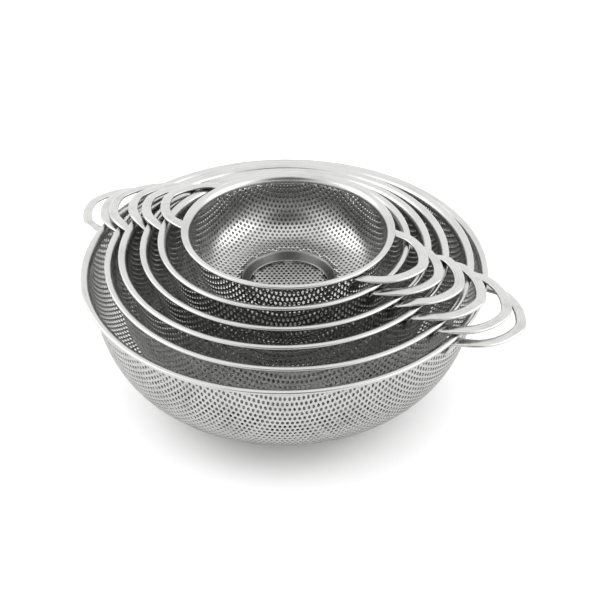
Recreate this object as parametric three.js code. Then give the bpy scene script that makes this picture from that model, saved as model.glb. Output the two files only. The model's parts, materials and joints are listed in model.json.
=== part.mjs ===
// Nested set of six perforated stainless steel bowls (colanders), each with a rolled rim
// and two loop handles. Millimetres, +Z up, handles along X, the largest bowl's foot on Z = 0.
import * as THREE from 'three';

// ---- driving dimensions ----------------------------------------------------------------
const bowlCount = 6;
const smallestDiameter = 135;          // over the rim
const diameterStep = 25;
const depthRatio = 0.35;               // rim top to underside of the foot, over rim diameter
const sheet = 0.6;

const rimWidth = 5.8;                  // sloping flange with its rolled hem, measured radially
const rimRise = 3.4;                   // the hem stands this much above the flange's inner edge
const hemDiameter = 2.4;
const flangeThickness = 1;
const flangeBend = 1.6;                // the underside's corner, over the flange's thickness

const footRadiusRatio = 0.4;           // flat base disc over rim radius
const footTopRatio = 0.455;            // where the wall meets the pressed step
const footStepRatio = 0.09;            // height of the pressed step over rim radius
const wallFullness = { radial: 0.74, vertical: 0.76 };

const strip = { width: 6.4, thickness: 2.4 };           // the flat steel of the handles
const smallHandle = { reach: 22.4, halfWidth: 26.5 };   // the three smaller bowls
const largeHandle = { reach: 25, halfWidth: 29 };       // the three larger bowls
const loopStart = 0.5;                 // the loop's curve begins this far outside the rim
const loopTaper = 1.25;                // 1 is an ellipse, more is narrower at the far end
const tab = { width: 8.4, thickness: 1.8, length: 11 };
const tabBends = [[1, 0], [0.65, 0.15], [0.3, 0.8]];    // share of the tab's length down the
                                       // wall, and distance off it over the strip's thickness
const pressedShare = 0.06;             // share of the strip's length pressed to the full tab,
const fullShare = 0.22;                // and share by which it is the full strip again
const gap = 0.3;                       // between pieces that touch in the real set
const facetPlay = 0.2;                 // extra room for facets where a strip passes a rim

// The loosely nested set, from the smallest bowl up: how much higher each rim stands above
// the next one than its handle strips alone would hold it, and how far each bowl sits off
// the largest one's axis along X and Y, over the step in diameter.
const nestSlack = [2.8, 1.7, 0.1, 1.7, 2.3];
const sideShift = [[0.072, 0.04], [-0.012, -0.008], [0.02, 0.012], [-0.02, -0.008],
  [0.104, 0.056], [0, 0]];

const around = 32;                     // facets round a bowl
// A strip's section, over its half width and half thickness: flat with rounded edges.
const stripSection = [[1, 0.45], [0.8, 1], [-0.8, 1], [-1, 0.45],
  [-1, -0.45], [-0.8, -1], [0.8, -1], [1, -0.45]];

// ---- sizes that follow -----------------------------------------------------------------
const hemRadius = hemDiameter / 2;
const rimLift = nestSlack.map((slack) => strip.thickness + gap + slack);

// How far a bowl sits off the axis of the next larger one.
function offCentre(index) {
  const [x, y] = sideShift[index];
  const [nextX, nextY] = sideShift[Math.min(index + 1, bowlCount - 1)];
  return Math.hypot(x - nextX, y - nextY) * diameterStep;
}

function bowlSizes(index) {
  const diameter = smallestDiameter + diameterStep * index;
  const radius = diameter / 2;
  return {
    name: `bowl_${Math.round(diameter)}`,
    radius,
    depth: diameter * depthRatio,
    wallRadius: radius - rimWidth + sheet,
    wallTop: -(rimRise + hemRadius + gap + sheet),
    handle: index < bowlCount / 2 ? smallHandle : largeHandle,
    lift: rimLift[Math.min(index, bowlCount - 2)],
    nextRim: diameterStep / 2 - offCentre(index),
  };
}

const bowls = Array.from({ length: bowlCount }, (_, index) => bowlSizes(index));

function rimCentre(index) {
  const [x, y] = sideShift[index].map((share) => share * diameterStep);
  const lifts = rimLift.slice(index).reduce((sum, lift) => sum + lift, 0);
  return [x, y, bowls[bowlCount - 1].depth + lifts];
}

// ---- profiles, with the rim's top at height 0 --------------------------------------------
function wallPoint(bowl, turn) {
  const foot = { r: bowl.radius * footTopRatio, z: -bowl.depth + bowl.radius * footStepRatio };
  const r = foot.r + (bowl.wallRadius - foot.r) * Math.cos(turn) ** wallFullness.radial;
  const z = bowl.wallTop - (bowl.wallTop - foot.z) * Math.sin(turn) ** wallFullness.vertical;
  return new THREE.Vector2(r, z);
}

function outsideProfile(bowl, steps = 6) {
  const points = [new THREE.Vector2(0, -bowl.depth)];
  points.push(new THREE.Vector2(bowl.radius * footRadiusRatio, -bowl.depth));
  for (let i = steps; i >= 0; i -= 1) points.push(wallPoint(bowl, (i / steps) * Math.PI / 2));
  return points;
}

// Moves every point of an open profile sideways, to the left of its direction of travel.
function offsetProfile(points, distance) {
  return points.map((point, i) => {
    const before = points[Math.max(i - 1, 0)];
    const after = points[Math.min(i + 1, points.length - 1)];
    const inward = before.clone().sub(point).normalize();
    const onward = after.clone().sub(point).normalize();
    const along = onward.clone().sub(inward).normalize();
    const left = new THREE.Vector2(-along.y, along.x);
    const edge = i === 0 ? onward : inward.negate();
    const mitre = Math.max(0.5, Math.abs(left.x * -edge.y + left.y * edge.x));
    return point.clone().addScaledVector(left, distance / mitre);
  });
}

function shellGeometry(bowl) {
  const outside = outsideProfile(bowl);
  const inside = offsetProfile(outside, sheet).reverse();
  inside[inside.length - 1].x = 0;
  inside[0].y = outside[outside.length - 1].y;
  return new THREE.LatheGeometry([...outside, ...inside], around);
}

// The flange's upper face, a quarter ellipse: it leaves the wall upright and lies level
// where it reaches the hem.
function flangeFace(inner, lip, hemTop, steps = 5) {
  return Array.from({ length: steps }, (_, i) => {
    const turn = ((i + 1) / (steps + 1)) * Math.PI / 2;
    return [hemTop - (hemTop - inner) * Math.sin(turn), lip * (1 - Math.cos(turn))];
  });
}

// The rolled hem, from the inside of its underside round to its top.
function hemSection(outer, steps = 6) {
  return Array.from({ length: steps }, (_, i) => {
    const turn = (i - steps / 2) * Math.PI / 4;
    return [outer - hemRadius + hemRadius * Math.cos(turn), hemRadius * (Math.sin(turn) - 1)];
  });
}

function rimGeometry(bowl) {
  const inner = bowl.radius - rimWidth;
  const lip = -(rimRise + hemRadius);
  const section = [
    [inner, lip - sheet],
    [inner + flangeThickness, lip - sheet],
    [inner + flangeThickness * flangeBend, lip + flangeThickness],
    ...hemSection(bowl.radius),
    ...flangeFace(inner, lip, bowl.radius - hemRadius),
    [inner, lip - sheet],
  ];
  return new THREE.LatheGeometry(section.map(([r, z]) => new THREE.Vector2(r, z)), around);
}

// Radius of the wall's outside at height z, and the share of a sideways gap that is left
// square to the sloping wall there.
function wallSlope(bowl, z, step = 1) {
  const drop = bowl.wallTop + bowl.depth - bowl.radius * footStepRatio;
  const radiusAt = (height) => {
    const turn = Math.asin(((bowl.wallTop - height) / drop) ** (1 / wallFullness.vertical));
    return wallPoint(bowl, turn).x;
  };
  const slope = (radiusAt(z + step / 2) - radiusAt(z - step / 2)) / step;
  return { radius: radiusAt(z), steepness: 1 / Math.hypot(1, slope) };
}

// ---- handles -----------------------------------------------------------------------------
// Heights of the strip's middle: under its own rim, and over the next larger bowl's rim,
// whose rounded shoulder it has to clear while it is still climbing.
function stripHeights(bowl) {
  const reachOver = strip.thickness / 2 + gap + facetPlay;
  const under = -(hemDiameter + reachOver);
  const slope = (reachOver - bowl.lift - under) / (bowl.nextRim - hemDiameter);
  const shoulder = { width: rimWidth - hemRadius, height: rimRise + hemRadius };
  const overShoulder = Math.hypot(shoulder.height, shoulder.width * slope) - shoulder.height;
  return { under, over: overShoulder + reachOver * Math.hypot(1, slope) - bowl.lift };
}

// The tab's bends down the wall, from its tip up.
function tabPoints(bowl, across, under) {
  return tabBends.map(([down, off]) => {
    const wall = wallSlope(bowl, under - tab.length * down);
    const clearance = tab.thickness / 2 + gap + off * strip.thickness;
    const x = across(wall.radius + clearance / wall.steepness);
    return new THREE.Vector3(x, bowl.handle.halfWidth, under - tab.length * down);
  });
}

// One half of a handle, from the tip of its tab on the wall to the middle of the loop.
function halfHandlePoints(bowl, loopSteps = 4) {
  const { reach, halfWidth } = bowl.handle;
  const { under, over } = stripHeights(bowl);
  const across = (radius) => Math.sqrt(radius ** 2 - halfWidth ** 2);
  const rimX = across(bowl.radius);
  const nextX = rimX + bowl.nextRim - hemRadius;
  const start = rimX + loopStart;
  const end = bowl.radius + reach;
  const points = tabPoints(bowl, across, under);
  points.push(new THREE.Vector3(rimX - rimWidth / 3, halfWidth, under));
  points.push(new THREE.Vector3(rimX, halfWidth, under));
  const firstTurn = Math.asin((nextX - start) / (end - start));
  for (let i = 0; i <= loopSteps; i += 1) {
    const turn = firstTurn + (i / loopSteps) * (Math.PI / 2 - firstTurn);
    const x = start + (end - start) * Math.sin(turn);
    points.push(new THREE.Vector3(x, halfWidth * Math.cos(turn) ** loopTaper, over));
  }
  return points;
}

function handlePath(bowl, samples = 24) {
  const half = halfHandlePoints(bowl);
  const mirrored = half.slice(0, -1).reverse().map((p) => new THREE.Vector3(p.x, -p.y, p.z));
  const curve = new THREE.CatmullRomCurve3([...half, ...mirrored], false, 'centripetal');
  return curve.getSpacedPoints(samples);
}

// How far the strip is from pressed tab, 0, to its full section, 1, along the handle.
function fullness(share) {
  return THREE.MathUtils.smoothstep(Math.min(share, 1 - share), pressedShare, fullShare);
}

// Which way the section's width lies: along the wall at the tabs, level in the loop.
function widthDirection(point, along, full) {
  const level = new THREE.Vector3(-along.y, along.x, 0).normalize();
  const onWall = new THREE.Vector3(-point.y, point.x, 0).normalize();
  if (onWall.dot(level) < 0) onWall.negate();
  const wide = onWall.lerp(level, full);
  return wide.addScaledVector(along, -wide.dot(along)).normalize();
}

function handleGeometry(bowl) {
  const path = handlePath(bowl);
  const last = path.length - 1;
  const facets = stripSection.length;
  const positions = [];
  const indices = [];
  path.forEach((point, i) => {
    const along = path[Math.min(i + 1, last)].clone().sub(path[Math.max(i - 1, 0)]).normalize();
    const full = fullness(i / last);
    const wide = widthDirection(point, along, full);
    const thick = along.clone().cross(wide);
    const halfWidth = THREE.MathUtils.lerp(tab.width, strip.width, full) / 2;
    const halfThickness = THREE.MathUtils.lerp(tab.thickness, strip.thickness, full) / 2;
    stripSection.forEach(([sideways, up]) => {
      const corner = point.clone().addScaledVector(wide, halfWidth * sideways)
        .addScaledVector(thick, halfThickness * up);
      positions.push(...corner.toArray());
    });
  });
  for (let i = 0; i < last; i += 1) {
    for (let k = 0; k < facets; k += 1) {
      const a = i * facets + k;
      const b = i * facets + ((k + 1) % facets);
      indices.push(a, b, b + facets, a, b + facets, a + facets);
    }
  }
  for (let k = 1; k < facets - 1; k += 1) {
    indices.push(0, k + 1, k);
    indices.push(last * facets, last * facets + k, last * facets + k + 1);
  }
  const geometry = new THREE.BufferGeometry();
  geometry.setAttribute('position', new THREE.Float32BufferAttribute(positions, 3));
  geometry.setIndex(indices);
  geometry.computeVertexNormals();
  return geometry;
}

// ---- assembly ------------------------------------------------------------------------------
function steel(colour, roughness) {
  return new THREE.MeshStandardMaterial({ color: colour, metalness: 1, roughness });
}

function addPiece(group, name, geometry, material, place) {
  const mesh = new THREE.Mesh(geometry, material);
  mesh.name = name;
  mesh.applyMatrix4(place);
  group.add(mesh);
}

const set = new THREE.Group();
set.name = 'nested_colander_bowls';
const lathedUpright = new THREE.Matrix4().makeRotationX(Math.PI / 2);
const halfTurn = new THREE.Matrix4().makeRotationZ(Math.PI);

bowls.forEach((bowl, index) => {
  const place = new THREE.Matrix4().makeTranslation(...rimCentre(index));
  const upright = place.clone().multiply(lathedUpright);
  addPiece(set, `${bowl.name}_shell`, shellGeometry(bowl), steel('#b9bbbd', 0.35), upright);
  addPiece(set, `${bowl.name}_rim`, rimGeometry(bowl), steel('#d6d7d8', 0.25), upright);
  addPiece(set, `${bowl.name}_handle_right`, handleGeometry(bowl), steel('#d2d3d4', 0.2), place);
  addPiece(set, `${bowl.name}_handle_left`, handleGeometry(bowl), steel('#d2d3d4', 0.2),
    place.clone().multiply(halfTurn));
});

export default set;
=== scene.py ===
"""Six perforated stainless steel colander bowls, nested, on a plain studio floor.

Shapes are worked out in millimetres, with each bowl's rim top at height 0, and written in metres.
"""
import json
import math

import bpy
import numpy as np
from mathutils import Euler, Matrix, Vector

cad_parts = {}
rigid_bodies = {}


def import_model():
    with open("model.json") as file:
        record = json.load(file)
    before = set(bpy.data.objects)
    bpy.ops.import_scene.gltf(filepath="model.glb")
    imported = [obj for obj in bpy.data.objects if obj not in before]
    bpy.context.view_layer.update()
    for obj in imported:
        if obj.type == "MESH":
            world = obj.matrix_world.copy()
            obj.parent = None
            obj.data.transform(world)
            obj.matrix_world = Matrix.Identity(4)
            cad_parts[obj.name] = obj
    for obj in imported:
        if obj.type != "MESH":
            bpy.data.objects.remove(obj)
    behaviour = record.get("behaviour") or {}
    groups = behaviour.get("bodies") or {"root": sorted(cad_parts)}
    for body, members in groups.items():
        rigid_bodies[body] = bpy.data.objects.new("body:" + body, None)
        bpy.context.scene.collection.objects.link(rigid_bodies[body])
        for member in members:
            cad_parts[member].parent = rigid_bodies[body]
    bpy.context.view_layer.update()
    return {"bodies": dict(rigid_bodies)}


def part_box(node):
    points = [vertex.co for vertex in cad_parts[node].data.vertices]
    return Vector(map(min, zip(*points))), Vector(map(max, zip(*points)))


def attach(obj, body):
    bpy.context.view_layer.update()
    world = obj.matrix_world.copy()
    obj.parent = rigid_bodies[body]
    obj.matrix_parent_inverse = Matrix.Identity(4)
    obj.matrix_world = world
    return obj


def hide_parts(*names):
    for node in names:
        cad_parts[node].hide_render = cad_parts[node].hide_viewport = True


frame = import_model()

METRE = 0.001                   # one millimetre, in metres

# ---- the pressed bowl --------------------------------------------------------------------
SHEET = 0.6                     # perforated sheet
HOLE_PITCH = 3.27               # between hole centres on the flat blank, before pressing
HOLE = 2.05                     # hole diameter on the flat blank
HOLE_SIDES = 12                 # two for each side of a cell of the pattern
PATTERN_TURN = 28.5             # degrees that the blank's rows are turned from the handles' line
STRETCH = 1.5                   # how strongly the pressing's side squeeze turns into height

FOOT_SHARE = 0.4                # flat base disc over rim radius
STEP_SHARE = 0.455              # where the wall meets the pressed step
STEP_RISE_SHARE = 0.09          # height of the pressed step over rim radius
WALL_OUTWARD = 0.74             # fullness of the wall's curve, sideways
WALL_UPWARD = 0.76              # and in height
CREASE = 2.4                    # radius of the pressed step's two bends
STEP_COVER = 0.5                # plain sheet kept beyond each bend of the step
STEP_PROUD = 0.03               # the plain step's extra thickness on each face
BASE_MARGIN, WALL_MARGIN = 0.28, 0.3  # from the step's ends to the nearest cells' middles, and
SEEN_MARGIN = 0.58              # how far cells run on under the rim, all in pitches
MOST_CELLS = 3200               # holes in one piece of wall

WALL_POINTS = 240               # along the wall's curve
SLOPE_POINTS, SLOPE_SPAN = 400, 0.5  # the same for reading its slope, and the span in mm
BEND_REACH = 12                 # wall points taken up by the step's upper bend
BEND_STEPS = 8                  # points round a bend
BEND_SHARE = 0.45               # most of a straight's length that one bend may take
PROFILE_SPACING = 0.1           # along the pressed profile
UNSTRETCHED = 1                 # radius in the middle of the base that is left as it was
STEP_THINNING = 3               # every third point of the profile is kept for the plain step

# ---- the rim -------------------------------------------------------------------------------
RIM_WIDTH = 5.8
RIM_RISE = 3.4
HEM = 2.4                       # diameter of the rolled hem
FLANGE = 1.1                    # thickness of the folded flange
FLANGE_COVER = 0.2              # strip over the sheet's edge inside the flange
ROUND_RIM = 256                 # faces round a rim
SHOULDER = RIM_RISE + HEM / 2   # radius of the flange's curve from the wall to the hem
TUCK_END, TUCK_POINTS = 122, 12  # degrees that the sheet runs to inside the flange, and points
LIP_POINTS, FLANGE_POINTS, HEM_POINTS, UNDERSIDE_POINTS = 9, 18, 22, 10

# ---- the handles ---------------------------------------------------------------------------
HANDLE_HALF_WIDTHS = {"small": 26.5, "large": 29.0}
LARGE_RADIUS = 100              # rim radius from which a bowl has the large handle
STRIP_WIDTH, STRIP_THICKNESS = 6.4, 2.4
TAB_WIDTH, TAB_THICKNESS, TAB_LENGTH = 8.4, 1.8, 11.0
# Points of the tab: the share of its length down the wall, and the distance off the wall in
# thicknesses of the strip.
TAB_BENDS = ((1, 0), (0.65, 0.15), (0.3, 0.8))
PRESSED_SHARE, FULL_SHARE = 0.06, 0.22  # of the strip's length: full tab up to, full strip from
TIP_SHARE = 0.016               # of the strip's length, over which each end is rounded off
TIP_LEAST, TIP_THICKNESS = 0.02, 0.4  # least square of a tip's width, and its thickness
LOOP_START = 0.5                # the loop's curve begins this far outside the rim
LOOP_TAPER = 1.25               # 1 is an ellipse, more is narrower at the far end
LOOP_POINTS = 5                 # given points of half a loop
FACET_PLAY = 0.2                # kept over a rim for the CAD's facets
SECTION_POWER = 0.75            # 1 is an oval section, less is squarer with rounded edges
GAP = 0.3                       # between pieces that touch
STRIP_SIDES = 24
STRIP_STEPS = 150
SPAN_STEPS = 24                 # points worked out between two given ones


# ---- what the frame says about each bowl ---------------------------------------------------
def read_bowl(name):
    """Place and driving sizes of one bowl, from the CAD rim, shell and handle."""
    rim_low, rim_high = (np.array(corner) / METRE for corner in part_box(f"{name}_rim"))
    shell_low = np.array(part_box(f"{name}_shell")[0]) / METRE
    low, high = (np.array(corner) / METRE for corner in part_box(f"{name}_handle_right"))
    radius = (rim_high[1] - rim_low[1]) / 2
    centre = np.array([(rim_high[0] + rim_low[0]) / 2, (rim_high[1] + rim_low[1]) / 2, rim_high[2]])
    return {
        "name": name,
        "radius": radius,
        "centre": centre,
        "depth": rim_high[2] - shell_low[2],
        "handle_end": high[0] - STRIP_WIDTH / 2 - centre[0],
        "wall_radius": radius - RIM_WIDTH + SHEET,
        "wall_top": -(RIM_RISE + HEM / 2 + GAP + SHEET),
    }


def body_names():
    """The bowls, smallest first."""
    return sorted(frame["bodies"], key=lambda body: float(body.split("_")[1]))


def add_handle_sizes(bowls):
    """Sets what each bowl's handles need to know of the next larger bowl's rim. The largest
    bowl has none, so its handles rise as much as those of the bowl inside it."""
    rim_step = bowls[1]["radius"] - bowls[0]["radius"]
    for bowl, larger in zip(bowls, bowls[1:] + bowls[-1:]):
        upper, lower = bowls[-2:] if larger is bowl else (bowl, larger)
        bowl["lift"] = upper["centre"][2] - lower["centre"][2]
        off_centre = math.dist(bowl["centre"][:2], larger["centre"][:2])
        bowl["next_rim"] = rim_step - off_centre
        size = "small" if bowl["radius"] < LARGE_RADIUS else "large"
        bowl["handle_half_width"] = HANDLE_HALF_WIDTHS[size]
        bowl["handle_reach"] = bowl["handle_end"] - bowl["radius"]


# ---- profiles ------------------------------------------------------------------------------
def arc(middle, radius, first, last, steps):
    """Points on an arc in the r-z plane, from one angle to another in degrees."""
    turn = np.radians(np.linspace(first, last, steps))
    return np.column_stack([middle[0] + radius * np.cos(turn), middle[1] + radius * np.sin(turn)])


def flange_middle(bowl):
    """The middle of the quarter circle that the flange follows from the wall to the hem."""
    return np.array([bowl["radius"] - HEM / 2, -SHOULDER])


def rounded(points, radius):
    """The same open line with its inner corners rounded."""
    out = [points[0]]
    for before, corner, after in zip(points, points[1:], points[2:]):
        back, onward = before - corner, after - corner
        back, onward = back / np.linalg.norm(back), onward / np.linalg.norm(onward)
        half = math.acos(np.clip(back @ onward, -1, 1)) / 2
        reach = min(radius / math.tan(half), BEND_SHARE * np.linalg.norm(before - corner),
                    BEND_SHARE * np.linalg.norm(after - corner))
        start, end = corner + back * reach, corner + onward * reach
        for t in np.linspace(0, 1, BEND_STEPS):
            out.append((1 - t) ** 2 * start + 2 * t * (1 - t) * corner + t ** 2 * end)
    out.append(points[-1])
    return np.array(out)


def wall_curve(bowl, count):
    """The wall's outside from the step up to the rim."""
    foot_r = bowl["radius"] * STEP_SHARE
    foot_z = -bowl["depth"] + bowl["radius"] * STEP_RISE_SHARE
    turn = np.linspace(math.pi / 2, 0, count)
    r = foot_r + (bowl["wall_radius"] - foot_r) * np.clip(np.cos(turn), 0, 1) ** WALL_OUTWARD
    z = bowl["wall_top"] - (bowl["wall_top"] - foot_z) * np.sin(turn) ** WALL_UPWARD
    return np.column_stack([r, z])


def resampled(points, spacing):
    """Points at an even spacing along a line, with the distance of each from its start."""
    steps = np.linalg.norm(np.diff(points, axis=0), axis=1)
    keep = np.concatenate([[True], steps > 1e-6])
    points = points[keep]
    along = np.concatenate([[0], np.cumsum(np.linalg.norm(np.diff(points, axis=0), axis=1))])
    even = np.linspace(0, along[-1], int(along[-1] / spacing) + 1)
    return even, np.column_stack([np.interp(even, along, points[:, k]) for k in (0, 1)])


def pressed_profile(bowl):
    """The sheet's outside from the middle of the base to its edge inside the folded flange,
    and how far each point lay from the middle of the flat blank."""
    wall = wall_curve(bowl, WALL_POINTS)
    foot = np.array([bowl["radius"] * FOOT_SHARE, -bowl["depth"]])
    tucked = arc(flange_middle(bowl), SHOULDER - FLANGE_COVER - SHEET, 180, TUCK_END, TUCK_POINTS)
    bends = rounded([np.array([0, -bowl["depth"]]), foot, wall[0], wall[BEND_REACH]], CREASE)
    line = np.vstack([bends, wall[BEND_REACH + 1:], tucked])
    along, points = resampled(line, PROFILE_SPACING)
    slope = np.gradient(points, along, axis=0)
    slope /= np.linalg.norm(slope, axis=1)[:, None]
    flat = np.zeros(len(along))
    for i in range(1, len(along)):
        squeeze = points[i, 0] / flat[i - 1] if flat[i - 1] > UNSTRETCHED else 1
        flat[i] = flat[i - 1] + (along[i] - along[i - 1]) * squeeze ** STRETCH
    return {
        "flat": flat,
        "point": points,
        "inward": np.column_stack([-slope[:, 1], slope[:, 0]]),
        "step_start": float(np.interp(foot[0] - STEP_COVER, points[:, 0], flat)),
        "step_end": float(np.interp(wall[0][0] + STEP_COVER, points[:, 0], flat)),
        "seen_end": float(np.interp(bowl["wall_top"], points[:, 1], flat)),
    }


# ---- mesh making ---------------------------------------------------------------------------
def make_mesh(name, points, corners, sizes, sharp=None, maps=()):
    """A smooth-shaded mesh object from arrays: points in metres, face corners and face sizes."""
    mesh = bpy.data.meshes.new(name)
    mesh.vertices.add(len(points))
    mesh.vertices.foreach_set("co", np.asarray(points, np.float32).ravel())
    mesh.loops.add(len(corners))
    mesh.loops.foreach_set("vertex_index", np.asarray(corners, np.int32))
    mesh.polygons.add(len(sizes))
    starts = np.concatenate([[0], np.cumsum(sizes)[:-1]])
    mesh.polygons.foreach_set("loop_start", starts.astype(np.int32))
    mesh.update(calc_edges=True)
    for map_name, places in maps:
        layer = mesh.uv_layers.new(name=map_name)
        layer.uv.foreach_set("vector", np.asarray(places, np.float32).ravel())
    mesh.polygons.foreach_set("use_smooth", np.ones(len(sizes), bool))
    if sharp is not None:
        ends = np.empty(len(mesh.edges) * 2, np.int32)
        mesh.edges.foreach_get("vertices", ends)
        marked = sharp[ends].reshape(-1, 2)
        layer = mesh.attributes.new("sharp_edge", "BOOLEAN", "EDGE")
        layer.data.foreach_set("value", (marked[:, 0] > 0) & (marked[:, 0] == marked[:, 1]))
    mesh.update()
    piece = bpy.data.objects.new(name, mesh)
    bpy.context.collection.objects.link(piece)
    return piece


def settle(piece, body, slot, material, *nodes):
    """Fixes a piece to its bowl, gives it its steel and hides the CAD solids it stands for."""
    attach(piece, body)
    if nodes:
        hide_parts(*nodes)
    piece.data.materials.append(material)


# ---- perforated sheet ----------------------------------------------------------------------
# A cell's corners from its middle, in thirds of a pitch along the pattern's two directions.
CORNERS = np.array([[1, 1], [-1, 2], [-2, 1], [-1, -1], [1, -2], [2, -1]])
ROW_SPARE = 1.2                 # rows lie closer than a pitch: above 1 over the cosine of 30


def blank_cells(first, last):
    """Whole cells of the blank's hexagonal pattern with their middle between two radii."""
    reach = int(last / HOLE_PITCH * ROW_SPARE) + 2
    i, j = (grid.ravel() for grid in np.mgrid[-reach:reach + 1, -reach:reach + 1])
    middle = flat_place(3 * np.column_stack([i, j]))
    radius = np.hypot(middle[:, 0], middle[:, 1])
    kept = (radius >= first) & (radius < last)
    return np.column_stack([i, j])[kept], middle[kept]


def flat_place(thirds):
    """Millimetres on the flat blank for places counted in thirds of a pitch."""
    turn = math.radians(PATTERN_TURN)
    along_row = HOLE_PITCH / 3 * np.array([math.cos(turn), math.sin(turn)])
    turn += math.pi / 3
    next_row = HOLE_PITCH / 3 * np.array([math.cos(turn), math.sin(turn)])
    return thirds[:, :1] * along_row + thirds[:, 1:] * next_row


def pressed(bowl, profile, flat, share):
    """Takes points of the flat blank to the pressed bowl; share is 0 outside and 1 inside."""
    reach = np.maximum(np.hypot(flat[:, 0], flat[:, 1]), 1e-9)
    r, z = (np.interp(reach, profile["flat"], profile["point"][:, k]) for k in (0, 1))
    inward = [np.interp(reach, profile["flat"], profile["inward"][:, k]) for k in (0, 1)]
    r = r + inward[0] * SHEET * share
    z = z + inward[1] * SHEET * share
    around = flat / reach[:, None]
    local = np.column_stack([around[:, 0] * r, around[:, 1] * r, z])
    return (local + bowl["centre"]) * METRE


def punched_sheet(name, bowl, profile, cells, middle):
    """A closed piece of perforated sheet: both faces, the holes' walls and the cut edge."""
    keys, corner_of = np.unique((3 * cells[:, None, :] + CORNERS).reshape(-1, 2), axis=0,
                                return_inverse=True)
    corner_of = corner_of.reshape(-1, 6)
    corner_flat = flat_place(keys)
    turns = math.radians(PATTERN_TURN + 30) + np.arange(HOLE_SIDES) * 2 * math.pi / HOLE_SIDES
    ring = HOLE / 2 * np.column_stack([np.cos(turns), np.sin(turns)])
    hole_flat = (middle[:, None, :] + ring).reshape(-1, 2)
    corners, holes = len(corner_flat), len(hole_flat)
    both = np.vstack([corner_flat, hole_flat])
    points = np.vstack([pressed(bowl, profile, both, 1), pressed(bowl, profile, both, 0)])
    side = corners + holes                       # added to an index to reach the outer face
    hole_of = corners + np.arange(holes).reshape(-1, HOLE_SIDES)

    inner = []
    for k in range(6):
        a, b = corner_of[:, k], corner_of[:, (k + 1) % 6]
        h0, h1, h2 = (hole_of[:, (2 * k + m) % HOLE_SIDES] for m in range(3))
        inner += [np.column_stack([a, h1, h0]), np.column_stack([a, b, h1]),
                  np.column_stack([b, h2, h1])]
    inner = np.vstack(inner)
    outer = inner[:, ::-1] + side
    h, onward = hole_of.ravel(), np.roll(hole_of, -1, axis=1).ravel()
    walls = np.column_stack([h, onward, onward + side, h + side])

    ends = np.stack([corner_of, np.roll(corner_of, -1, axis=1)], axis=2).reshape(-1, 2)
    _, where, times = np.unique(np.sort(ends, axis=1), axis=0, return_index=True,
                                return_counts=True)
    cut = ends[where[times == 1]]
    edge = np.column_stack([cut[:, 1], cut[:, 0], cut[:, 0] + side, cut[:, 1] + side])

    loops = np.concatenate([inner.ravel(), outer.ravel(), walls.ravel(), edge.ravel()])
    sizes = np.concatenate([np.full(len(inner) + len(outer), 3), np.full(len(walls) + len(edge), 4)])
    on_hole = np.concatenate([np.zeros(corners, int), np.ones(holes, int)])
    sharp = np.concatenate([on_hole, on_hole * 2])
    grain = np.vstack([both, both])[loops]
    return make_mesh(name, points, loops, sizes, sharp, [("blank", grain)])


def pressed_step(name, bowl, profile):
    """The plain pressed step between the base disc and the wall, as a closed ring."""
    kept = (profile["flat"] > profile["step_start"]) & (profile["flat"] < profile["step_end"])
    point = profile["point"][kept][::STEP_THINNING]
    inward = profile["inward"][kept][::STEP_THINNING]
    outside = point - inward * STEP_PROUD
    inside = point + inward * (SHEET + STEP_PROUD)
    section = np.vstack([outside, inside[::-1]])
    creases = (0, len(outside) - 1, len(outside), len(section) - 1)
    return turned(name, bowl, section, creases)


def turned(name, bowl, section, creases=()):
    """A closed section, counted round with its inside on the left, turned about the axis."""
    count = len(section)
    turn = np.arange(ROUND_RIM) * 2 * math.pi / ROUND_RIM
    r, z = section[:, 0], section[:, 1]
    local = np.stack([np.cos(turn)[:, None] * r, np.sin(turn)[:, None] * r,
                      np.broadcast_to(z, (ROUND_RIM, count))], axis=2).reshape(-1, 3)
    i, k = (grid.ravel() for grid in np.mgrid[0:ROUND_RIM, 0:count])
    after, up = (i + 1) % ROUND_RIM, (k + 1) % count
    faces = np.column_stack([i * count + k, after * count + k, after * count + up, i * count + up])
    steps = np.linalg.norm(np.roll(section, -1, axis=0) - section, axis=1)
    across = np.concatenate([[0], np.cumsum(steps)])
    length = 2 * math.pi * r.max() / ROUND_RIM
    grain = np.stack([np.column_stack([i, i + 1, i + 1, i]) * length,
                      np.column_stack([across[k], across[k], across[k + 1], across[k + 1]])], axis=2)
    sharp = np.zeros(count, int)
    for number, crease in enumerate(creases):
        sharp[crease] = number + 1
    return make_mesh(name, (local + bowl["centre"]) * METRE, faces.ravel(), np.full(len(faces), 4),
                     np.tile(sharp, ROUND_RIM), [("grain", grain.reshape(-1, 2))])


# ---- rim -----------------------------------------------------------------------------------
def rim_section(bowl):
    """Rounded lip on the wall, the flange's quarter turn, the rolled hem and the underside."""
    middle = flange_middle(bowl)
    hem = middle + [0, SHOULDER - HEM / 2]
    lip = middle - [SHOULDER - FLANGE / 2, 0]
    return np.vstack([arc(lip, FLANGE / 2, 0, -180, LIP_POINTS),
                      arc(middle, SHOULDER, 178, 92, FLANGE_POINTS),
                      arc(hem, HEM / 2, 90, -160, HEM_POINTS),
                      arc(middle, SHOULDER - FLANGE, 112, 178, UNDERSIDE_POINTS)])[::-1]


# ---- handles -------------------------------------------------------------------------------
def wall_slope(bowl, z):
    """The wall's radius at a height, and how square to the axis it stands there."""
    wall = wall_curve(bowl, SLOPE_POINTS)
    heights = [z - SLOPE_SPAN, z, z + SLOPE_SPAN]
    below, at, above = np.interp(heights, wall[:, 1], wall[:, 0])
    return at, 1 / math.hypot(1, above - below)


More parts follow.
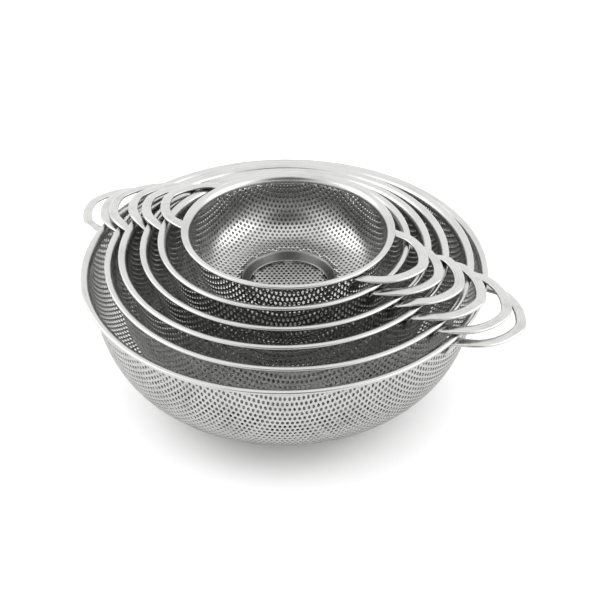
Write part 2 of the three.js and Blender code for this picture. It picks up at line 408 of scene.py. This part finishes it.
def half_handle(bowl):
    """One half of a handle, from the tab's tip on the wall to the middle of the loop."""
    reach, half_width = bowl["handle_reach"], bowl["handle_half_width"]

    def across(radius):
        return math.sqrt(radius ** 2 - half_width ** 2)

    reach_over = STRIP_THICKNESS / 2 + GAP + FACET_PLAY
    under = -(HEM + reach_over)
    slope = (reach_over - bowl["lift"] - under) / (bowl["next_rim"] - HEM)
    over = (SHOULDER * (math.hypot(1, slope) - 1) + reach_over * math.hypot(1, slope)
            - bowl["lift"])
    points = []
    for down, off in TAB_BENDS:
        height = under - TAB_LENGTH * down
        radius, steepness = wall_slope(bowl, height)
        clearance = TAB_THICKNESS / 2 + GAP + off * STRIP_THICKNESS
        points.append((across(radius + clearance / steepness), half_width, height))
    rim_x = across(bowl["radius"])
    next_x = rim_x + bowl["next_rim"] - HEM / 2
    points += [(rim_x - RIM_WIDTH / 3, half_width, under), (rim_x, half_width, under)]
    start, end = rim_x + LOOP_START, bowl["radius"] + reach
    for turn in np.linspace(math.asin((next_x - start) / (end - start)), math.pi / 2, LOOP_POINTS):
        y = half_width * max(math.cos(turn), 0) ** LOOP_TAPER
        points.append((start + (end - start) * math.sin(turn), y, over))
    return np.array(points)


def smooth_line(points, count):
    """Evenly spaced points on a centripetal Catmull-Rom curve through the given ones."""
    ends = np.vstack([2 * points[0] - points[1], points, 2 * points[-1] - points[-2]])
    dense = []
    for p0, p1, p2, p3 in zip(ends, ends[1:], ends[2:], ends[3:]):
        t = np.concatenate([[0], np.cumsum([np.linalg.norm(b - a) ** 0.5
                                            for a, b in ((p0, p1), (p1, p2), (p2, p3))])])
        u = np.linspace(t[1], t[2], SPAN_STEPS, endpoint=False)[:, None]
        a1 = (t[1] - u) / (t[1] - t[0]) * p0 + (u - t[0]) / (t[1] - t[0]) * p1
        a2 = (t[2] - u) / (t[2] - t[1]) * p1 + (u - t[1]) / (t[2] - t[1]) * p2
        a3 = (t[3] - u) / (t[3] - t[2]) * p2 + (u - t[2]) / (t[3] - t[2]) * p3
        b1 = (t[2] - u) / (t[2] - t[0]) * a1 + (u - t[0]) / (t[2] - t[0]) * a2
        b2 = (t[3] - u) / (t[3] - t[1]) * a2 + (u - t[1]) / (t[3] - t[1]) * a3
        dense.append((t[2] - u) / (t[2] - t[1]) * b1 + (u - t[1]) / (t[2] - t[1]) * b2)
    dense = np.vstack(dense + [points[-1:]])
    along = np.concatenate([[0], np.cumsum(np.linalg.norm(np.diff(dense, axis=0), axis=1))])
    even = np.linspace(0, along[-1], count)
    return np.column_stack([np.interp(even, along, dense[:, k]) for k in range(3)]), along[-1]


def strip_sizes():
    """Along the strip: half its width, half its thickness, and 0 at a tab to 1 at full strip."""
    share = np.linspace(0, 1, STRIP_STEPS)
    from_end = np.minimum(share, 1 - share)
    full = np.clip((from_end - PRESSED_SHARE) / (FULL_SHARE - PRESSED_SHARE), 0, 1)
    full = full ** 2 * (3 - 2 * full)
    tip = np.sqrt(np.clip(1 - (1 - np.clip(from_end / TIP_SHARE, 0, 1)) ** 2, TIP_LEAST, 1))
    wide_half = (TAB_WIDTH + (STRIP_WIDTH - TAB_WIDTH) * full) / 2 * tip
    thick_half = (TAB_THICKNESS + (STRIP_THICKNESS - TAB_THICKNESS) * full) / 2
    thick_half *= TIP_THICKNESS + (1 - TIP_THICKNESS) * tip
    return wide_half, thick_half, full


def width_direction(point, along, full):
    """The way the strip's width runs: round the wall at a tab, level where it is full strip."""
    level = np.array([-along[1], along[0], 0]) / math.hypot(along[0], along[1])
    on_wall = np.array([-point[1], point[0], 0]) / math.hypot(point[0], point[1])
    wide = level * full + on_wall * np.sign(on_wall @ level) * (1 - full)
    wide -= along * (wide @ along)
    return wide / np.linalg.norm(wide)


def strip_points(path):
    """The strip's rings of points along its path, and a point in the middle of each end."""
    wide_half, thick_half, full = strip_sizes()
    turn = np.arange(STRIP_SIDES) * 2 * math.pi / STRIP_SIDES
    c, s = (np.sign(v) * np.abs(v) ** SECTION_POWER for v in (np.cos(turn), np.sin(turn)))
    rings = []
    for i, point in enumerate(path):
        along = path[min(i + 1, STRIP_STEPS - 1)] - path[max(i - 1, 0)]
        along /= np.linalg.norm(along)
        wide = width_direction(point, along, full[i])
        thick = np.cross(along, wide)
        rings.append(point + np.outer(c * wide_half[i], wide) + np.outer(s * thick_half[i], thick))
    return np.vstack(rings + [path[:1], path[-1:]])


def strip_faces():
    """Corners and sizes of the strip's faces, and which corners close the map round it."""
    i, k = (grid.ravel() for grid in np.mgrid[0:STRIP_STEPS - 1, 0:STRIP_SIDES])
    beside = (k + 1) % STRIP_SIDES
    faces = np.column_stack([i * STRIP_SIDES + k, i * STRIP_SIDES + beside,
                             (i + 1) * STRIP_SIDES + beside, (i + 1) * STRIP_SIDES + k])
    closing = np.tile(beside[:, None] == 0, (1, 4)) & np.array([False, True, True, False])
    k = np.arange(STRIP_SIDES)
    first = STRIP_STEPS * STRIP_SIDES
    tail = (STRIP_STEPS - 1) * STRIP_SIDES
    near = np.column_stack([(k + 1) % STRIP_SIDES, k, np.full(STRIP_SIDES, first)])
    far = np.column_stack([tail + k, tail + (k + 1) % STRIP_SIDES,
                           np.full(STRIP_SIDES, first + 1)])
    corners = np.concatenate([faces.ravel(), near.ravel(), far.ravel()])
    sizes = np.concatenate([np.full(len(faces), 4), np.full(2 * STRIP_SIDES, 3)])
    return corners, sizes, closing.ravel()


def handle(name, bowl, direction):
    """A bent strip whose two ends are pressed into tabs; direction is 1 at +X and -1 at -X."""
    half = half_handle(bowl)
    path, length = smooth_line(np.vstack([half, half[-2::-1] * [1, -1, 1]]), STRIP_STEPS)
    local = strip_points(path) * [direction, direction, 1]
    corners, sizes, closing = strip_faces()
    girth = 2 * (STRIP_WIDTH + STRIP_THICKNESS) / STRIP_SIDES
    column = np.tile(np.arange(STRIP_SIDES), STRIP_STEPS) * girth
    row = np.repeat(np.arange(STRIP_STEPS), STRIP_SIDES) * length / STRIP_STEPS
    grain = np.column_stack([np.append(row, [0, length]), np.append(column, [0, 0])])[corners]
    grain[:len(closing)][closing, 1] = STRIP_SIDES * girth
    return make_mesh(name, (local + bowl["centre"]) * METRE, corners, sizes, None,
                     [("grain", grain)])


# ---- materials -----------------------------------------------------------------------------
TONE_FROM, TONE_TO = 0.7, 1.0   # the two noises' sum at which a steel is darkest and lightest
ROUGH_FROM, ROUGH_TO = 0.6, 1.4  # and at which it is smoothest and roughest


def colour(code):
    """Linear colour of an sRGB hex value."""
    parts = [int(code[i:i + 2], 16) / 255 for i in (1, 3, 5)]
    linear = [p / 12.92 if p <= 0.04045 else ((p + 0.055) / 1.055) ** 2.4 for p in parts]
    return (*linear, 1.0)


def add(tree, kind, settings=None, **links):
    """Adds a node, sets its properties and sockets, and links its inputs."""
    node = tree.nodes.new(kind)
    for key, value in (settings or {}).items():
        if isinstance(key, str) and hasattr(node, key):
            setattr(node, key, value)
        else:
            node.inputs[key].default_value = value
    for key, source in links.items():
        tree.links.new(source, node.inputs[key.replace("_", " ")])
    return node


def new_material(name):
    material = bpy.data.materials.new(name)
    material.use_nodes = True
    tree = material.node_tree
    tree.nodes.clear()
    output = add(tree, "ShaderNodeOutputMaterial")
    return material, tree, output


def stainless(name, map_name, light, dark, roughness, spread, line, run, depth, wave, wave_size):
    """Type 304 stainless steel with fine lines along one way of its map: light and dark tones,
    roughness and how far it varies, the lines' width and run in mm, the lines' depth in mm, and
    the height and size in mm of the slow waves that pressing or bending leaves."""
    material, tree, output = new_material(name)
    grain = add(tree, "ShaderNodeUVMap", {"uv_map": map_name})
    stretch = add(tree, "ShaderNodeMapping", {"Scale": (1 / run, 1 / line, 1)},
                  Vector=grain.outputs[0])
    lines = add(tree, "ShaderNodeTexNoise", {"Scale": 1.0, "Detail": 4.0, "Roughness": 0.6},
                Vector=stretch.outputs[0])
    place = add(tree, "ShaderNodeTexCoord")
    cloud = add(tree, "ShaderNodeTexNoise", {"Scale": 1 / (wave_size * METRE), "Detail": 2.0},
                Vector=place.outputs["Object"])
    blend = add(tree, "ShaderNodeMath", {"operation": "ADD"})
    tree.links.new(lines.outputs["Fac"], blend.inputs[0])
    tree.links.new(cloud.outputs["Fac"], blend.inputs[1])
    tone = add(tree, "ShaderNodeValToRGB", Fac=blend.outputs[0])
    tone.color_ramp.elements[0].position = TONE_FROM
    tone.color_ramp.elements[0].color = colour(dark)
    tone.color_ramp.elements[1].position = TONE_TO
    tone.color_ramp.elements[1].color = colour(light)
    rough = add(tree, "ShaderNodeMapRange",
                {"From Min": ROUGH_FROM, "From Max": ROUGH_TO, "To Min": roughness - spread,
                 "To Max": roughness + spread}, Value=blend.outputs[0])
    slow = add(tree, "ShaderNodeBump", {"Strength": 1.0, "Distance": wave * METRE},
               Height=cloud.outputs["Fac"])
    fine = add(tree, "ShaderNodeBump", {"Strength": 1.0, "Distance": depth * METRE},
               Height=lines.outputs["Fac"], Normal=slow.outputs[0])
    steel = add(tree, "ShaderNodeBsdfPrincipled", {"Metallic": 1.0}, Base_Color=tone.outputs[0],
                Roughness=rough.outputs[0], Normal=fine.outputs[0])
    tree.links.new(steel.outputs[0], output.inputs["Surface"])
    return material


def punched_sheet_steel():
    """304 sheet, cold rolled, punched, pressed and satin finished: soft grey, with the rolling
    lines running straight across the blank and slow waves left by the press."""
    return stainless("punched_satin_stainless", "blank", "#b1b1af", "#9f9f9e", 0.29, 0.05,
                     line=0.5, run=14, depth=0.002, wave=0.03, wave_size=16)


def rim_steel():
    """304 strip, folded, rolled and polished while turning: brighter, with lines round it."""
    return stainless("polished_rolled_stainless", "grain", "#b3b3b1", "#a6a6a5", 0.26, 0.05,
                     line=0.35, run=60, depth=0.002, wave=0.01, wave_size=25)


def strip_steel():
    """304 flat strip, edges rolled round, bent and tumbled: the smoothest, lines along it."""
    return stainless("tumbled_strip_stainless", "grain", "#b2b2b0", "#a3a3a1", 0.26, 0.05,
                     line=0.4, run=12, depth=0.001, wave=0.01, wave_size=10)


def step_steel_painted_shade():
    """The same 304 sheet with painted shade: darker, to stand for the dim reflection on the pressed
    step, with lines round it.
    """
    # The tones #747473 and #626261 are painted shade: the sheet's steel made darker where the step
    # reflects little light.
    return stainless("step_stainless_painted_shade", "grain", "#747473", "#626261", 0.34, 0.05,
                     line=0.5, run=30, depth=0.003, wave=0.03, wave_size=16)


def floor_paper():
    """White seamless paper, matt, with a fibre too fine to show but for a trace of tone."""
    material, tree, output = new_material("white_studio_paper")
    place = add(tree, "ShaderNodeTexCoord")
    fibre = add(tree, "ShaderNodeTexNoise", {"Scale": 60.0, "Detail": 3.0},
                Vector=place.outputs["Object"])
    tone = add(tree, "ShaderNodeValToRGB", Fac=fibre.outputs["Fac"])
    tone.color_ramp.elements[0].color = colour("#f6f6f6")
    tone.color_ramp.elements[1].color = colour("#fafafa")
    paper = add(tree, "ShaderNodeBsdfPrincipled", {"Roughness": 0.9, "Specular IOR Level": 0.2},
                Base_Color=tone.outputs[0])
    tree.links.new(paper.outputs[0], output.inputs["Surface"])
    return material


# ---- studio --------------------------------------------------------------------------------
VIEW_AZIMUTH, VIEW_ELEVATION = 28.5, 34.18      # degrees, towards the largest rim's middle
VIEW_DISTANCE = 520.0
TURN_RIGHT, TURN_DOWN, ROLL = 1.58, 3.91, -0.6  # framing, in degrees
LENS, SENSOR = 46.8, 36.0
TENT_LIGHT = 1.7
GAP_LIGHT = 0.12                # share of the tent's light that the gap gives
GAP_FROM, GAP_TO = 0.8, 0.97    # cosine from the view at which the gap begins and is full
SOFTBOX_SIZE, SOFTBOX_POWER = (1.0, 0.9), 5.6   # metres and watts
SOFTBOX_PLACES = {"softbox_left": (-0.95, -0.35, 0.8), "softbox_right": (0.95, 0.35, 0.8)}
SET_MIDDLE = (0, 0, 0.06)       # what the softboxes point at, in metres
FLOOR_REACH = 3.0               # metres from the middle to the floor's edge


def view_direction():
    """Towards the camera from what it looks at."""
    a, e = math.radians(VIEW_AZIMUTH), math.radians(VIEW_ELEVATION)
    return math.sin(a) * math.cos(e), -math.cos(a) * math.cos(e), math.sin(e)


def add_camera(target):
    a = math.radians(VIEW_AZIMUTH)
    towards = Vector(view_direction())
    right = Vector((math.cos(a), math.sin(a), 0))
    up = towards.cross(right)
    square_on = Matrix((right, up, towards)).transposed()
    framing = Euler([math.radians(v) for v in (-TURN_DOWN, -TURN_RIGHT, ROLL)], "XYZ").to_matrix()
    data = bpy.data.cameras.new("camera")
    data.lens, data.sensor_width = LENS, SENSOR
    camera = bpy.data.objects.new("camera", data)
    place = Matrix.Translation((Vector(target) + towards * VIEW_DISTANCE) * METRE)
    camera.matrix_world = place @ (square_on @ framing).to_4x4()
    bpy.context.collection.objects.link(camera)
    bpy.context.scene.camera = camera


def add_softbox(name, place, target, size, power):
    data = bpy.data.lights.new(name, "AREA")
    data.shape, data.size, data.size_y, data.energy = "RECTANGLE", size[0], size[1], power
    lamp = bpy.data.objects.new(name, data)
    lamp.location = place
    lamp.rotation_euler = (Vector(target) - Vector(place)).to_track_quat("-Z", "Y").to_euler()
    bpy.context.collection.objects.link(lamp)


def add_tent():
    """A white tent: even light from all round, but for the dark gap that the view is from."""
    world = bpy.data.worlds.new("white_tent")
    world.use_nodes = True
    tree = world.node_tree
    tree.nodes.clear()
    way = add(tree, "ShaderNodeTexCoord")
    facing = add(tree, "ShaderNodeVectorMath", {"operation": "DOT_PRODUCT", 1: view_direction()})
    tree.links.new(way.outputs["Generated"], facing.inputs[0])
    gap = add(tree, "ShaderNodeMapRange",
              {"interpolation_type": "SMOOTHSTEP", "From Min": GAP_FROM, "From Max": GAP_TO,
               "To Min": TENT_LIGHT, "To Max": TENT_LIGHT * GAP_LIGHT},
              Value=facing.outputs["Value"])
    light = add(tree, "ShaderNodeBackground", {"Color": colour("#fbfbfb")}, Strength=gap.outputs[0])
    output = add(tree, "ShaderNodeOutputWorld")
    tree.links.new(light.outputs[0], output.inputs["Surface"])
    bpy.context.scene.world = world


def add_studio():
    add_tent()
    for name, place in SOFTBOX_PLACES.items():
        add_softbox(name, place, SET_MIDDLE, SOFTBOX_SIZE, SOFTBOX_POWER)
    corners = FLOOR_REACH * np.array([[-1, -1, 0], [1, -1, 0], [1, 1, 0], [-1, 1, 0]])
    floor = make_mesh("studio_floor", corners, np.arange(4), [4])
    floor.data.materials.append(floor_paper())
    bpy.context.scene.view_settings.view_transform = "Standard"


# ---- assembly ------------------------------------------------------------------------------
def add_bowl(bowl, steels):
    """Makes one bowl's base, step, walls, rim and two handles."""
    name = bowl["name"]
    profile = pressed_profile(bowl)
    shell = f"{name}_shell"
    base_cells, base_middle = blank_cells(0, profile["step_start"] - HOLE_PITCH * BASE_MARGIN)
    base = punched_sheet(f"{name}_base", bowl, profile, base_cells, base_middle)
    settle(base, name, "perforated_shell", steels["sheet"], shell)
    step = pressed_step(f"{name}_step", bowl, profile)
    settle(step, name, "perforated_shell", steels["step"], shell)
    cells, middle = blank_cells(profile["step_end"] + HOLE_PITCH * WALL_MARGIN,
                                profile["seen_end"] + HOLE_PITCH * SEEN_MARGIN)
    parts = math.ceil(len(cells) / MOST_CELLS)
    angle = np.arctan2(middle[:, 1], middle[:, 0]) % (2 * math.pi)
    sector = np.minimum((angle / (2 * math.pi) * parts).astype(int), parts - 1)
    for k in range(parts):
        chosen = sector == k
        wall = punched_sheet(f"{name}_wall_{k + 1}", bowl, profile, cells[chosen], middle[chosen])
        settle(wall, name, "perforated_shell", steels["sheet"], shell)
    rim = turned(f"{name}_rolled_rim", bowl, rim_section(bowl))
    settle(rim, name, "rolled_rim", steels["rim"], f"{name}_rim")
    for side, direction in (("right", 1), ("left", -1)):
        loop = handle(f"{name}_loop_{side}", bowl, direction)
        settle(loop, name, "handle_strip", steels["strip"], f"{name}_handle_{side}")


bowls = [read_bowl(name) for name in body_names()]
add_handle_sizes(bowls)

add_camera(bowls[-1]["centre"])
add_studio()
# The step's steel is the sheet's steel darkened with painted shade.
steels = {"sheet": punched_sheet_steel(), "rim": rim_steel(), "strip": strip_steel(),
          "step": step_steel_painted_shade()}
for bowl in bowls:
    add_bowl(bowl, steels)
